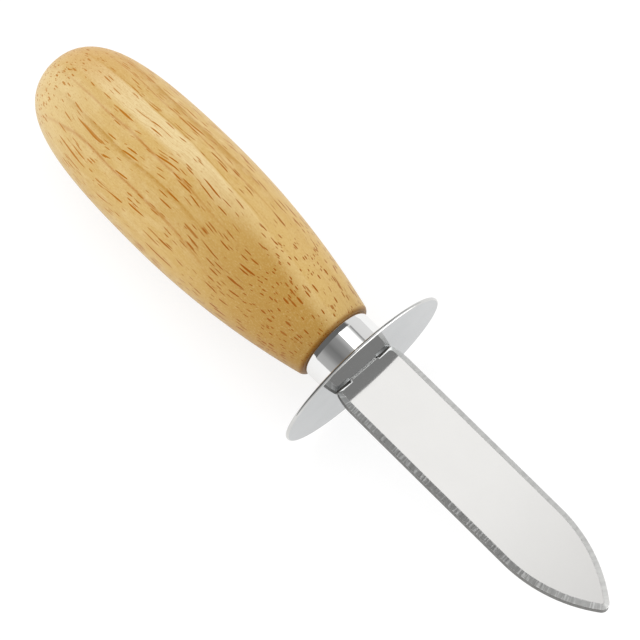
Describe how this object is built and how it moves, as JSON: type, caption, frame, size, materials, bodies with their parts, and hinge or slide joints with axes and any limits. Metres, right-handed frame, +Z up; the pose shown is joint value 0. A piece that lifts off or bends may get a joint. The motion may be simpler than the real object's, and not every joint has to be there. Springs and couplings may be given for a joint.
{
  "type": "oyster knife",
  "caption": "Short fixed-blade oyster knife: blunt pointed steel blade bevelled on both sides, oval guard, polished ferrule and a turned wooden handle.",
  "frame": {"origin": "on the table plane, under the middle of the knife's length, as it lies on the belly of the handle and the lower rim of the guard", "axes": "+X along the knife towards the tip of the blade, +Z up, square to the flat of the blade, +Y across the width of the blade"},
  "size_m": [0.1603, 0.042, 0.0292],
  "materials": {
    "handle_wood": "satin clear lacquer on pale golden hardwood",
    "ferrule_steel": "polished stainless steel",
    "guard_steel": "polished stainless steel",
    "blade_steel": "polished flats, cross-ground bevels",
    "tang_epoxy": "cured epoxy, dull"
  },
  "bodies": {
    "root": {"handle": "handle_wood", "ferrule": "ferrule_steel", "guard": "guard_steel", "blade": "blade_steel", "tang_bond": "tang_epoxy"}
  },
  "joints": []
}
